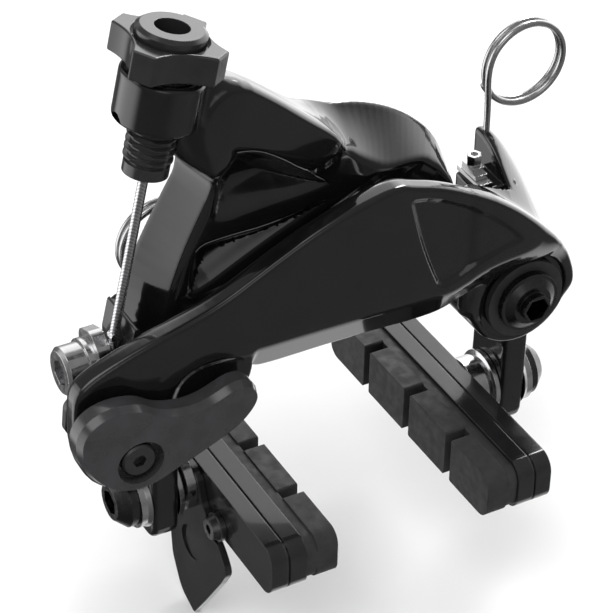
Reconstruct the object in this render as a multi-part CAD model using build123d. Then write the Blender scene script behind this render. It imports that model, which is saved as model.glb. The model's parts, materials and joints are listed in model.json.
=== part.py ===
from build123d import *
import math
import os

# Direct-mount dual-pivot rim brake caliper, one STEP file per piece, in millimetres.
# Frame: +X to the right when looking at the front face, -Y to the front, +Z up.
# Origin: midway between the two mounting pivots, on the face that meets the bicycle frame.
# "f" is the distance in front of that face, so f = -Y.

LEFT, RIGHT = -1, 1
CLEARANCE = 0.05                # radial running clearance

# Pivots
PIVOT_X = 31.0                  # half the mounting-stud spacing
M6_R = 3.0                      # mounting studs and pad bolts
STUD_LENGTH = 12.0              # behind the mounting face
SHANK_R = 2.6                   # waisted bolt shank inside the sleeve
SLEEVE_R = 4.5
BORE_R = 5.6                    # pivot bore of both arms
BUSH_F0 = 1.5
# side, name, front end of the sleeve, front end of the bush
PIVOTS = [(LEFT, "left", 12.4, 12.1), (RIGHT, "right", 16.3, 15.9)]

# Arms
ARM_F0, ARM_F1 = 1.4, 10.5      # depth of the adjuster arm
ARM_STEP_F = ARM_F0 + 1.2       # end of its tapered rear layer
BEAM_F0, BEAM_F1 = 12.0, 21.0   # depth of the anchor arm's front beam
LEFT_BOSS_R, RIGHT_BOSS_R = 8.7, 9.8
WASHER_RECESS_R, WASHER_RECESS_F = 8.5, 1.35
LEG_X0, LEG_X1 = 31.8, 36.8     # both legs, from the centre plane
SYNC_X, SYNC_Z, SYNC_R = 0.0, 14.0, 2.5    # synchronising pin

# Pads
PAD_X = 14.5                    # friction face from the centre plane
PAD_F, PAD_Z = 7.5, -25.7       # pad centre
PAD_LENGTH = 55.0
PAD_F0, PAD_F1 = PAD_F - PAD_LENGTH / 2, PAD_F + PAD_LENGTH / 2
CARTRIDGE_HEIGHT, RUBBER_HEIGHT = 9.6, 9.0
HOLDER_X0, HOLDER_X1 = 20.4, 26.9
PAD_BOLT_F = 5.6
PAD_TRAVEL = 2.2                # height adjustment, each way
PAD_SLOT_HALF = 3.12            # half width of the slot in the leg
RETAINER_F, RETAINER_Z = 16.6, -28.4       # insert-retaining screw

# Cable and adjuster
CABLE_F = 11.5                  # cable plane
WIRE_R = 0.8
ADJUSTER_X, ADJUSTER_Z = -37.0, 42.3       # lower end of the stem
TILT = math.radians(11.8)       # cable line from vertical, leaning right
ALONG = (math.sin(TILT), math.cos(TILT))   # up the cable line, as (x, z)
ACROSS = (-ALONG[1], ALONG[0])             # square to it, to the left
STEM_R = 3.9
THREAD_ROOT_R = STEM_R - 0.62
THREAD_PITCH = 1.25
KNOB_R = 9.1

# Quick release
QR_X, QR_Z = -45.7, -0.6
LEVER_F0, LEVER_F1 = 22.4, 26.4
LEVER_EDGE_F = 24.9             # where the lever's front edge starts to taper
QR_SHAFT_R = 2.5
DRIVE_HALF = 1.85               # half side of the square drive
CAM_OFFSET = 4.1
CAM_ANGLE = math.radians(37.5)
CAM_X, CAM_Z = [axis + CAM_OFFSET * (math.cos(CAM_ANGLE) * left + math.sin(CAM_ANGLE) * up)
                for axis, left, up in zip((QR_X, QR_Z), ACROSS, ALONG)]

# Cable clamp
CLAMP_TOP_Z = 13.4              # where the cable leaves the clamp
CLAMP_X = ADJUSTER_X + ALONG[0] * (CLAMP_TOP_Z - ADJUSTER_Z) / ALONG[1]
CARRIER_X = CLAMP_X + WIRE_R + 0.02        # the carrier's face on the cable
PLATE_X = CLAMP_X - WIRE_R - 0.02          # the plate's face on the cable
ANCHOR_Z = 6.9
ANCHOR_F = CABLE_F - 2.95       # the cable runs in front of the bolt shank
RIB_CENTRE = (CARRIER_X + 2.1, 11.4)       # carrier rib that rides in the anchor arm

# Return springs
SPRING_WIRE_R = 0.58
SPRING_HOLE_R = 0.75
COIL_R, COIL_PITCH, COIL_TURNS = 7.6, 1.28, 1.93
LEFT_FOOT_X, LEFT_FOOT_Z = -20.0, 9.6
RIGHT_FOOT_X, RIGHT_FOOT_F = 31.6, 1.2

# Centring screw
CENTRING_X, CENTRING_F = 26.8, 5.2

os.makedirs("parts", exist_ok=True)


# ------------------------------------------------------------------ helpers
def point(x, f, z):
    return Vector(x, -f, z)


def plane_f(x, f, z):
    """Plane facing the front."""
    return Plane(point(x, f, z), x_dir=(1, 0, 0), z_dir=(0, -1, 0))


def plane_x(x, f, z, side=RIGHT):
    """Plane facing right, or mirrored to face left."""
    return Plane(point(side * x, f, z), x_dir=(0, 0, 1), z_dir=(side, 0, 0))


def rounded_face(outline, to_point):
    """Face from (a, b, corner radius) rows; radii too big for their sides are reduced."""
    arcs = []
    for i, (a, b, radius) in enumerate(outline):
        corner = Vector(a, b)
        before = Vector(*outline[i - 1][:2]) - corner
        after = Vector(*outline[(i + 1) % len(outline)][:2]) - corner
        to_before, to_after = before.normalized(), after.normalized()
        half_angle = math.acos(to_before.dot(to_after)) / 2
        setback = min(radius / math.tan(half_angle), 0.48 * before.length, 0.48 * after.length)
        fitted = setback * math.tan(half_angle)
        depth = fitted / math.sin(half_angle) - fitted
        spots = (corner + to_before * setback,
                 corner + (to_before + to_after).normalized() * depth,
                 corner + to_after * setback)
        arcs.append([to_point(spot.X, spot.Y) for spot in spots])
    edges = []
    for arc, following in zip(arcs, arcs[1:] + arcs[:1]):
        edges.append(ThreePointArc(*arc))
        edges.append(Line(arc[2], following[0]))
    return Face(Wire(edges))


def face_f(outline, f):
    """Face at depth f from an (x, z, radius) outline."""
    return rounded_face(outline, lambda x, z: point(x, f, z))


def slab_f(outline, f0, f1):
    return extrude(face_f(outline, f0), amount=f1 - f0, dir=(0, -1, 0))


def loft_f(outline0, f0, outline1, f1):
    wires = [face_f(outline0, f0).outer_wire(), face_f(outline1, f1).outer_wire()]
    return Solid.make_loft(wires, ruled=True)


def span_x(x0, x1, side):
    return (x0, x1) if side > 0 else (-x1, -x0)


def slab_x(outline, x0, x1, side=RIGHT):
    """Slab across X from an (f, z, radius) outline; side LEFT mirrors x0..x1."""
    x0, x1 = span_x(x0, x1, side)
    face = rounded_face(outline, lambda f, z: point(x0, f, z))
    return extrude(face, amount=x1 - x0, dir=(1, 0, 0))


def box(a0, b0, a1, b1, radius):
    """Rectangular outline between two opposite corners."""
    return [(a0, b0, radius), (a1, b0, radius), (a1, b1, radius), (a0, b1, radius)]


def cylinder_f(x, z, radius, f0, f1):
    return Solid.make_cylinder(radius, f1 - f0, plane_f(x, f0, z))


def cone_f(x, z, r0, r1, f0, f1):
    return Solid.make_cone(r0, r1, f1 - f0, plane_f(x, f0, z))


def cylinder_x(f, z, radius, x0, x1, side=RIGHT):
    x0, x1 = span_x(x0, x1, side)
    return Solid.make_cylinder(radius, x1 - x0, plane_x(x0, f, z))


def cone_x(f, z, r0, r1, x0, x1, side=RIGHT):
    x0, x1 = span_x(x0, x1, side)
    if side < 0:
        r0, r1 = r1, r0
    return Solid.make_cone(r0, r1, x1 - x0, plane_x(x0, f, z))


def hexagon(plane, across_flats, depth):
    sketch = plane * RegularPolygon(across_flats / 2, 6, major_radius=False)
    return extrude(sketch, amount=depth)


def tilted_plane(x, f, z):
    """Plane facing up the cable line."""
    return Plane(point(x, f, z), x_dir=(0, -1, 0), z_dir=(ALONG[0], 0, ALONG[1]))


def adjuster_plane(s):
    """Plane s up the adjuster axis."""
    return tilted_plane(ADJUSTER_X + ALONG[0] * s, CABLE_F, ADJUSTER_Z + ALONG[1] * s)


def adjuster_cylinder(radius, s0, s1):
    return Solid.make_cylinder(radius, s1 - s0, adjuster_plane(s0))


def adjuster_cone(r0, r1, s0, s1):
    return Solid.make_cone(r0, r1, s1 - s0, adjuster_plane(s0))


def adjuster_flat(s, offset, thickness, width, height):
    """Bar beside the adjuster axis, turned 45 degrees about it."""
    place = Location((offset, -offset, 0), (0, 0, -45))
    return extrude(adjuster_plane(s) * place * Rectangle(thickness, width), amount=height)


def cable_box(centre, left0, along0, left1, along1, radius):
    """Rectangular (x, z, radius) outline square to the cable line, about centre."""
    return [(centre[0] + ACROSS[0] * left + ALONG[0] * along,
             centre[1] + ACROSS[1] * left + ALONG[1] * along, r)
            for left, along, r in box(left0, along0, left1, along1, radius)]


def largest(shape):
    return max(shape.solids(), key=lambda solid: solid.volume)


def save(name, *shapes):
    """Write the largest solid of each shape to one file."""
    solids = [largest(shape) for shape in shapes]
    if len(solids) == 1:
        result = solids[0]
    else:
        result = Compound(children=[Solid(solid.wrapped) for solid in solids])
    export_step(result, f"parts/{name}.step")


# ------------------------------------------------------------------ pivots
def mounting_bolt(x, end):
    bolt = cylinder_f(x, 0, M6_R, -STUD_LENGTH, 0.0) + cylinder_f(x, 0, SHANK_R, 0.0, end + 1.3)
    bolt += cylinder_f(x, 0, 5.6, end + 1.3, end + 2.6)
    bolt += cone_f(x, 0, 5.0, 3.6, end + 2.6, end + 3.5)
    bolt += cylinder_f(x, 0, SHANK_R, end + 3.5, end + 4.9)
    return bolt - hexagon(plane_f(x, end + 0.4, 0), 4.0, 4.7)


def pivot_sleeve(x, end):
    return cylinder_f(x, 0, SLEEVE_R, 0.0, end) - cylinder_f(x, 0, M6_R + 0.06, -0.1, end + 0.1)


def pivot_bush(x, end):
    outside = cylinder_f(x, 0, BORE_R - 0.01, BUSH_F0, end)
    return outside - cylinder_f(x, 0, SLEEVE_R + CLEARANCE, 0, 20)


def rear_washer(x):
    return cylinder_f(x, 0, 8.2, 0.1, 1.2) - cylinder_f(x, 0, SLEEVE_R + 0.04, 0, 1.3)


def front_washer(x, end):
    disc = cylinder_f(x, 0, 7.4, end + 0.06, end + 1.25)
    return disc - cylinder_f(x, 0, SHANK_R + 0.06, end - 0.3, end + 1.7)


for side, name, sleeve_end, bush_end in PIVOTS:
    save("mounting_bolt_" + name, mounting_bolt(side * PIVOT_X, sleeve_end))
    save("pivot_sleeve_" + name, pivot_sleeve(side * PIVOT_X, sleeve_end))
    save("pivot_bush_" + name, pivot_bush(side * PIVOT_X, bush_end))
save("rear_thrust_washers", *[rear_washer(row[0] * PIVOT_X) for row in PIVOTS])
save("front_thrust_washers", *[front_washer(row[0] * PIVOT_X, row[2]) for row in PIVOTS])

# ------------------------------------------------------------------ arm legs
# (f, z, radius)
LEG = [
    (1.6, 4, 1), (10.6, 4, 1), (11.4, -10, 4), (11.4, -22, 3),
    (10.4, -32.6, 4.2), (1.4, -32.6, 4.2), (0.6, -20, 3), (1.5, -8, 4),
]
PAD_SLOT = box(PAD_BOLT_F - PAD_SLOT_HALF, PAD_Z - PAD_TRAVEL - PAD_SLOT_HALF,
               PAD_BOLT_F + PAD_SLOT_HALF, PAD_Z + PAD_TRAVEL + PAD_SLOT_HALF, 3.1)


def pad_slot(side):
    return slab_x(PAD_SLOT, LEG_X0 - 1, LEG_X1 + 1, side)


def inner_seat(side):
    """Clears the leg's inner face around the slot."""
    return slab_x(box(0, -15.5, 16, -40, 1), LEG_X0 - 8, LEG_X0, side)


# ------------------------------------------------------------------ adjuster arm (left pivot)
# All (x, z, radius)
ADJ_ARM_BACK = [
    (-38.6, 1, 5), (-37.4, 10.5, 4), (-35.0, 20.4, 5), (-25.4, 38.3, 4), (-24.0, 45, 4),
    (-19.5, 48.0, 3), (-8.0, 41.2, 8), (5.2, 38.2, 8), (15.5, 32.5, 6), (20.5, 28.0, 4),
    (23.6, 20.0, 2.2), (22.9, 17.0, 1.2), (11.0, 9.6, 6), (-9.0, 5.0, 6), (-20.0, -1.5, 5),
    (-26, -8.2, 6), (-36.5, -7.8, 6),
]
ADJ_ARM_FRONT = [
    (-34.6, 2, 5), (-34.0, 10.5, 4), (-31.8, 20.0, 5), (-26.2, 38, 4), (-27.5, 48, 4),
    (-22.2, 53.5, 3), (-10.0, 43.6, 8), (-1.5, 35.8, 8), (7.0, 28.6, 6), (14.5, 24.2, 4),
    (20.6, 21.0, 1.4), (20.2, 18.2, 1.2), (9.0, 11.0, 6), (-10.0, 6.5, 6), (-21.0, -0.5, 5),
    (-26, -7.2, 6), (-36.0, -6.8, 6),
]
UPPER_SCOOP = [
    (-29.5, 30, 3), (-25.5, 43, 3), (-21.5, 46.0, 2.5), (-9.5, 37.6, 3), (-2.5, 30.5, 2),
    (-10, 27.5, 2), (-20, 21.5, 2), (-28, 17.0, 3),
]
LOWER_SCOOP = [
    (-31.0, 13.5, 2.5), (-19, 18.6, 2), (-6, 25.6, 2), (2, 24.5, 2), (-6, 14, 2),
    (-20, 9.5, 2), (-29, 10.2, 2),
]
NECK = [
    (-33.5, 44.5, 2), (-35.0, 56.5, 2), (-30.0, 58.6, 2), (-22.4, 54.0, 2), (-15, 47.5, 2),
    (-21, 42, 2), (-27, 40, 2),
]
LEG_WEB = [(-36.8, 2, 1), (-36.8, -16, 3), (-31.8, -16, 2), (-25, -7.5, 3), (-24, 1, 1)]
SYNC_PAD = [(-7, 7.5, 2), (8.5, 10.2, 2), (10.5, 19.5, 2), (-7, 19.5, 2)]
# Follows the path the synchronising pin takes in this arm
SYNC_SLOT = [
    (-1.9 - SYNC_R, SYNC_Z - SYNC_R - 0.42, 2.3), (4.6 + SYNC_R, SYNC_Z - SYNC_R - 0.95, 2.3),
    (4.6 + SYNC_R, SYNC_Z + SYNC_R + 0.30, 2.3), (-1.9 - SYNC_R, SYNC_Z + SYNC_R + 0.45, 2.3),
]


def rear_layer_row(x, z, radius):
    """Draw a rear outline point inwards at both ends and along the top."""
    shift = -1.0 if x > 5 else 0.9 if x < -35 else 0
    return (x + shift, z - 1.2 if z > 20 else z, radius)


def adjuster_arm():
    arm = loft_f(ADJ_ARM_BACK, ARM_STEP_F, ADJ_ARM_FRONT, ARM_F1)
    rearmost = [rear_layer_row(*row) for row in ADJ_ARM_BACK]
    arm += loft_f(rearmost, ARM_F0, ADJ_ARM_BACK, ARM_STEP_F)
    # pivot boss
    arm += cylinder_f(-PIVOT_X, 0, LEFT_BOSS_R, ARM_F0, 4.8)
    arm += cone_f(-PIVOT_X, 0, LEFT_BOSS_R, 7.3, 4.8, 5.4)
    arm += cylinder_f(-PIVOT_X, 0, 7.3, ARM_F0, 12.2)
    # scoops between the ribs of the front face
    arm -= slab_f(UPPER_SCOOP, 5.6, 12)
    arm -= slab_f(LOWER_SCOOP, 6.6, 12)
    # adjuster neck and boss, with a stepped bore
    arm += slab_f(NECK, 4.6, 12.0)
    arm += adjuster_cylinder(6.5, 9.6, 17.0)
    arm += adjuster_cone(5.6, 6.5, 8.7, 9.6)
    arm -= adjuster_cylinder(4.2, 0, 14.2)
    arm -= adjuster_cylinder(5.3, 13.4, 20)
    # flat guide rib in the bore for the stem's flat
    arm += adjuster_flat(9.2, 2.786, 0.8, 5.0, 4.0) & adjuster_cylinder(4.5, 8.8, 13.2)
    # leg to the pad
    leg = slab_x(LEG, LEG_X0, LEG_X1, LEFT)
    leg += slab_f(LEG_WEB, 2.0, 10.4)
    arm += leg
    arm -= pad_slot(LEFT)
    # seat for the pad bolt's outer washer
    arm -= slab_x(box(0, -14, 16, -40, 1), LEG_X1, LEG_X1 + 6, LEFT)
    arm -= inner_seat(LEFT)
    # pivot bore and rear washer recess
    arm -= cylinder_f(-PIVOT_X, 0, BORE_R, 0, 20)
    arm -= cylinder_f(-PIVOT_X, 0, WASHER_RECESS_R, 0, WASHER_RECESS_F)
    # slotted pad for the synchronising pin
    arm += slab_f(SYNC_PAD, 2.4, ARM_F1)
    arm -= slab_f(SYNC_SLOT, 4.0, 12)
    # hole for the return spring's end
    return arm - cylinder_f(LEFT_FOOT_X, LEFT_FOOT_Z, SPRING_HOLE_R, 0, 5.0)


save("adjuster_arm", adjuster_arm())


# ------------------------------------------------------------------ adjuster
def click_washer():
    bottom = 17.45
    washer = adjuster_cylinder(5.2, bottom, 17.85) - adjuster_cylinder(4.3, 17, 18.5)
    plane = adjuster_plane(bottom)
    hole_circle_r, hole_r = 4.75, 0.28
    for k in range(3):
        angle = math.radians(120 * k + 30)
        centre = (plane.origin + plane.x_dir * hole_circle_r * math.cos(angle)
                  + plane.y_dir * hole_circle_r * math.sin(angle) - plane.z_dir * 0.1)
        washer -= Solid.make_cylinder(hole_r, 1.0, Plane(centre, z_dir=plane.z_dir))
    return washer


def soften(solid, radius):
    """Round all edges with the largest of three radii the kernel manages."""
    for factor in (1.0, 0.6, 0.35):
        # fillet raises an error when a radius does not fit; the next one is then tried
        try:
            rounded = fillet(solid.edges(), radius * factor)
            if rounded.is_valid and abs(rounded.volume) > 0:
                return rounded
        except Exception:
            pass
    return solid


def adjuster_knob():
    """Four narrow lobes with hollow flanks between them."""
    first_lobe = 38.0
    flank_r = 6.35
    half_lobe = math.degrees(math.asin(1.95 / KNOB_R))

    def polar(radius, degrees):
        angle = math.radians(degrees)
        return (radius * math.cos(angle), radius * math.sin(angle))

    edges = []
    for k in range(4):
        lobe = first_lobe + 90 * k
        lobe_end = polar(KNOB_R, lobe + half_lobe)
        edges.append(Line(polar(KNOB_R, lobe - half_lobe), lobe_end))
        next_lobe = polar(KNOB_R, lobe + 90 - half_lobe)
        edges.append(ThreePointArc(lobe_end, polar(flank_r, lobe + 45), next_lobe))
    knob = extrude(adjuster_plane(17.95) * Face(Wire(edges)), amount=4.8)
    knob = soften(largest(knob), 0.35)
    knob -= adjuster_cylinder(6.05, 21.9, 24)
    return knob - adjuster_cylinder(STEM_R + 0.07, 15, 25)


def adjuster_stem():
    stem = adjuster_cylinder(THREAD_ROOT_R, 0.0, 22.0)
    stem += adjuster_cylinder(STEM_R - 0.25, 0.0, 1.9)
    # thread as separate rings
    for k in range(int((21.4 - 2.2) / THREAD_PITCH)):
        s = 2.3 + THREAD_PITCH * k
        stem += adjuster_cone(THREAD_ROOT_R, STEM_R, s, s + 0.38)
        stem += adjuster_cylinder(STEM_R, s + 0.38, s + 0.62)
        stem += adjuster_cone(STEM_R, THREAD_ROOT_R, s + 0.62, s + 1.0)
    # head
    stem += (adjuster_cylinder(5.55, 22.1, 23.8) + adjuster_cone(5.55, 4.9, 23.8, 24.3)
             + adjuster_cylinder(4.2, 21.9, 22.2))
    # flat along one side, then the cable bore
    stem -= adjuster_flat(1.9, 3.35, 2.6, 12.0, 19.5)
    stem -= adjuster_cylinder(2.4, -1, 25)
    return stem - adjuster_cylinder(2.75, 17.5, 25)


save("adjuster_collar", adjuster_cylinder(5.28, 14.25, 17.4) - adjuster_cylinder(4.25, 14, 18))
save("adjuster_click_washer", click_washer())
save("adjuster_knob", adjuster_knob())
save("adjuster_stem", adjuster_stem())

# ------------------------------------------------------------------ anchor arm (right pivot)
# All (x, z, radius)
BEAM_TOP = [
    (-54.2, 8.2, 3), (-51.2, 11.8, 4), (-45.6, 14.4, 6), (-37.0, 16.6, 8), (-28.7, 19.4, 6),
    (-19.2, 25.2, 8), (2.6, 31.2, 3), (15.5, 28.4, 8), (23.2, 24.0, 6), (29.8, 14.2, 4),
]
BEAM_BOTTOM = [
    (28.6, 12.4, 2), (20.1, 10.8, 6), (14.7, 9.2, 4), (7.5, 5.6, 3), (-9.5, 6.5, 8),
    (-23.6, 5.6, 2), (-27.0, 9.8, 3), (-34.5, 9.8, 3), (-38.0, 5.0, 3), (-37.6, -3.0, 5),
    (-42.0, -9.2, 6), (-49.6, -9.0, 6), (-54.4, -2.2, 7),
]
BEAM_FRONT = BEAM_TOP + BEAM_BOTTOM
# The beam's section behind its front face: taller, and shorter at the left end
BEAM_REAR = [
    (x + (0.5 if i in (0, len(BEAM_FRONT) - 1) else 0),
     z + (0.9 if i < len(BEAM_TOP) else -0.2), radius)
    for i, (x, z, radius) in enumerate(BEAM_FRONT)
]
# The beam reaches further back between its two ends
BEAM_DEEP = [
    (-34.0, 17.6, 2), (-28.7, 20.0, 6), (-19.2, 25.8, 8), (2.6, 31.6, 3), (15.5, 28.8, 8),
    (23.2, 24.4, 6), (29.8, 14.8, 4), (28.6, 10.0, 2), (20.1, 9.8, 6), (14.7, 9.2, 4),
    (7.5, 5.8, 3), (-9.5, 6.7, 8), (-20.6, 6.4, 2), (-25.0, 11.4, 3),
]
# Shoulder around the right pivot
SHOULDER_BACK = [
    (30.4, 2, 1), (30.4, 24.0, 1.0), (32.4, 24.0, 2), (36.4, 18.6, 6), (40.8, 8.8, 6),
    (42.3, 0, 4), (36, -3, 2),
]
SHOULDER_MID = [
    (30.4, 2, 1), (30.4, 19.2, 1.0), (32.0, 19.5, 2), (36.8, 15.6, 6), (40.8, 7.6, 6),
    (42.3, 0, 4), (36, -3, 2),
]
SHOULDER_FRONT = [
    (20.0, 4, 1), (20.0, 25.6, 1.2), (29.5, 16.6, 3), (35.4, 12.2, 6), (40.2, 6.2, 6),
    (42.3, 0, 4), (36, -3, 2),
]
SHOULDER_TIP = [(x + 0.5, z, radius) for x, z, radius in SHOULDER_FRONT[:2]] + [
    (x - 1.8, z - 0.8, radius) for x, z, radius in SHOULDER_FRONT[2:]]
# Upward horn at the back of the shoulder
HORN_REAR = [(30.5, 13, 1), (30.5, 22.8, 1.0), (32.2, 22.8, 1.5), (35.6, 18.0, 3), (37.6, 13, 3)]
HORN_FRONT = [(30.4, 13, 1), (30.4, 24.0, 1.0), (32.4, 24.0, 2), (36.6, 18.2, 3), (38.6, 13, 3)]
# Covers the left mounting bolt
BOLT_COVER = [
    (-40.0, 12.0, 1), (-23.5, 12.0, 1), (-22.5, 5.0, 2), (-26.0, 1.0, 3), (-31.0, -1.8, 4),
    (-37.0, -4.0, 3), (-40.0, -4.0, 1),
]
CENTRING_SEAT = [(25.1, 8.6, 1), (25.1, 18.8, 0.8), (33, 18.8, 0.5), (33, 8.6, 0.5)]


def drilling_down(x, f, z, radius, depth):
    return Solid.make_cylinder(radius, depth, Plane(point(x, f, z), z_dir=(0, 0, -1)))


def anchor_arm():
    beam = loft_f(BEAM_REAR, 16.0, BEAM_FRONT, BEAM_F1)
    beam += slab_f(BEAM_REAR, 15.6, 16.0)
    beam += slab_f(BEAM_DEEP, BEAM_F0, 16.2)
    arm = loft_f(SHOULDER_BACK, 1.2, SHOULDER_MID, 11.6)
    arm += loft_f(HORN_REAR, -0.8, HORN_FRONT, 1.2)
    arm += loft_f(SHOULDER_MID, 11.6, SHOULDER_FRONT, 15.4)
    arm += loft_f(SHOULDER_FRONT, 15.4, SHOULDER_TIP, 17.0)
    arm += beam
    # pivot boss and leg
    arm += cylinder_f(PIVOT_X, 0, RIGHT_BOSS_R, 1.2, 15.2)
    arm += cone_f(PIVOT_X, 0, RIGHT_BOSS_R, RIGHT_BOSS_R - 1.0, 15.2, 16.0)
    arm += slab_x(LEG, LEG_X0, LEG_X1)
    arm -= pad_slot(RIGHT)
    arm -= inner_seat(RIGHT)
    # pivot bore, with a washer recess behind and a bolt-head recess in front
    arm -= cylinder_f(PIVOT_X, 0, BORE_R, 0, 16.05)
    arm -= cylinder_f(PIVOT_X, 0, WASHER_RECESS_R, 0, WASHER_RECESS_F)
    arm -= cylinder_f(PIVOT_X, 0, 8.4, 16.0, 24)
    arm += slab_f(BOLT_COVER, 17.9, 20.4)
    # raised seat for the quick-release lever, and its bore
    arm += cylinder_f(QR_X, QR_Z, 7.2, 20.5, 22.0)
    arm -= cylinder_f(QR_X, QR_Z, QR_SHAFT_R + CLEARANCE, 10, 24)
    # return spring hole
    arm -= drilling_down(RIGHT_FOOT_X, RIGHT_FOOT_F, 26.0, SPRING_HOLE_R, 9)
    # synchronising pin bore
    arm -= cylinder_f(SYNC_X, SYNC_Z, SYNC_R + 0.01, 11, 18.5)
    # seat for the centring screw
    arm += slab_f(CENTRING_SEAT, 2.3, 9.8)
    arm -= drilling_down(CENTRING_X, CENTRING_F, 19.2, 0.86, 7)
    # slot for the carrier's rib
    return arm - slab_f(cable_box(RIB_CENTRE, 1.0, -6.6, -1.0, 2.0, 0.7), 14, 17.2)


save("anchor_arm", anchor_arm())
save("synchronising_pin", cylinder_f(SYNC_X, SYNC_Z, SYNC_R, 4.4, 18.4))


# ------------------------------------------------------------------ centring screw stack
def level_plane(z, f=CENTRING_F):
    return Plane(point(CENTRING_X, f, z), z_dir=(0, 0, 1))


def centring_screw():
    screw = Solid.make_cylinder(0.84, 8.4, level_plane(13.2))
    screw += hexagon(level_plane(21.5), 2.3, 1.9)
    return screw - hexagon(level_plane(22.4), 1.2, 2)


def centring_seat_plate():
    plate = slab_f(box(25.55, 18.83, 28.1, 19.75, 0.1), 2.0, 9.4)
    return plate - Solid.make_cylinder(0.9, 4, level_plane(17))


def centring_lock_nut():
    """Two stacked rectangular blocks, the lower one longer."""
    nut = extrude(level_plane(19.8, CENTRING_F + 0.4) * Rectangle(2.4, 4.6), amount=0.85)
    nut += extrude(level_plane(20.64) * Rectangle(2.4, 3.4), amount=0.8)
    return nut - Solid.make_cylinder(0.9, 5, level_plane(18))


save("centring_screw", centring_screw())
save("centring_seat_plate", centring_seat_plate())
save("centring_lock_nut", centring_lock_nut())

# ------------------------------------------------------------------ return springs
# Straight foot of each spring, as (x, y, z)
RIGHT_FOOT = [
    (RIGHT_FOOT_X, -RIGHT_FOOT_F, 18.5), (RIGHT_FOOT_X, -RIGHT_FOOT_F, 22.0),
    (RIGHT_FOOT_X, -RIGHT_FOOT_F, 26.0), (31.5, -1.2, 30.5),
]
LEFT_FOOT = [
    (LEFT_FOOT_X, -4.2, LEFT_FOOT_Z), (LEFT_FOOT_X, -2.2, LEFT_FOOT_Z),
    (LEFT_FOOT_X, -0.2, 9.8), (LEFT_FOOT_X, 0.95, 11.0), (LEFT_FOOT_X, 1.2, 14.0),
]


def return_spring(foot, coil_x, coil_z, coil_f, foot_side):
    """Foot, then a coil that works backwards, starting on the foot's side of it."""
    points = [Vector(*row) for row in foot]
    steps = int(COIL_TURNS * 14)
    for i in range(steps + 1):
        turned = 2 * math.pi * COIL_TURNS * i / steps
        angle = math.pi - turned if foot_side == LEFT else turned
        points.append(point(coil_x + COIL_R * math.cos(angle),
                            coil_f - COIL_PITCH * turned / (2 * math.pi),
                            coil_z + COIL_R * math.sin(angle)))
    path = Spline(points)
    return sweep(Plane(path @ 0, z_dir=path % 0) * Circle(SPRING_WIRE_R), path=path)


save("return_spring_right", return_spring(RIGHT_FOOT, 38.9, 35.3, 1.2, LEFT))
save("return_spring_left", return_spring(LEFT_FOOT, -27.6, 18.2, -1.2, RIGHT))

# ------------------------------------------------------------------ quick release
# (x, z) around the lever's front face
LEVER = [
    (-54.9, 7.2), (-53.4, 8.9), (-50.9, 9.9), (-47.8, 9.9), (-44.8, 9.0), (-42.4, 7.4),
    (-39.8, 6.4), (-37.0, 5.9), (-34.2, 6.1), (-31.6, 6.9), (-29.0, 7.8), (-26.7, 7.5),
    (-25.3, 5.4), (-26.4, 2.8), (-29.0, 0.5), (-31.6, -0.8), (-34.4, -2.0), (-37.1, -3.1),
    (-39.8, -4.1), (-42.4, -5.1), (-45.0, -5.6), (-47.6, -5.4), (-50.2, -4.2), (-52.5, -2.2),
    (-54.3, 0.6), (-55.3, 4.0),
]
LEVER_GROWTH = 0.55             # how far the lever's body stands out from that outline


def lever_wire(outset, f):
    """Smooth closed outline of the lever, moved outwards, at depth f."""
    points = []
    for i, (x, z) in enumerate(LEVER):
        x0, z0 = LEVER[i - 1]
        x1, z1 = LEVER[(i + 1) % len(LEVER)]
        chord = math.hypot(x1 - x0, z1 - z0)
        points.append(point(x - (z1 - z0) / chord * outset, f, z + (x1 - x0) / chord * outset))
    return Wire([Edge.make_spline(points, periodic=True)])


def drive_square(half):
    return box(QR_X - half, QR_Z - half, QR_X + half, QR_Z + half, 0.2)


def quick_release_lever():
    body = Face(lever_wire(LEVER_GROWTH, LEVER_F0))
    lever = extrude(body, amount=LEVER_EDGE_F - LEVER_F0, dir=(0, -1, 0))
    taper = [lever_wire(LEVER_GROWTH, LEVER_EDGE_F), lever_wire(0.0, LEVER_F1)]
    lever += Solid.make_loft(taper, ruled=True)
    lever -= cylinder_f(QR_X, QR_Z, 3.95, 24.4, 30)
    lever -= cylinder_f(QR_X, QR_Z, 1.55, 20, 30)
    return lever - slab_f(drive_square(DRIVE_HALF + 0.05), LEVER_F0 - 1, 23.7)


def quick_release_screw():
    screw = (cylinder_f(QR_X, QR_Z, 2.95, 24.45, 25.6)
             + cone_f(QR_X, QR_Z, 2.95, 2.6, 25.6, 25.9))
    screw += cylinder_f(QR_X, QR_Z, 1.42, 17.5, 24.5)
    return screw - hexagon(plane_f(QR_X, 24.9, QR_Z), 2.0, 3)


def quick_release_shaft():
    shaft = cylinder_f(QR_X, QR_Z, QR_SHAFT_R, 15.0, 22.1)
    shaft += slab_f(drive_square(DRIVE_HALF), 22.05, 23.6)
    # disc at the rear, carrying the cam pin
    shaft += cylinder_f(QR_X, QR_Z, 5.7, 14.25, 15.35)
    shaft += cylinder_f(CAM_X, CAM_Z, 1.4, 12.75, 14.3)
    return shaft - cylinder_f(QR_X, QR_Z, 1.47, 17.0, 30)


save("quick_release_lever", quick_release_lever())
save("quick_release_screw", quick_release_screw())
save("quick_release_shaft", quick_release_shaft())

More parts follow.
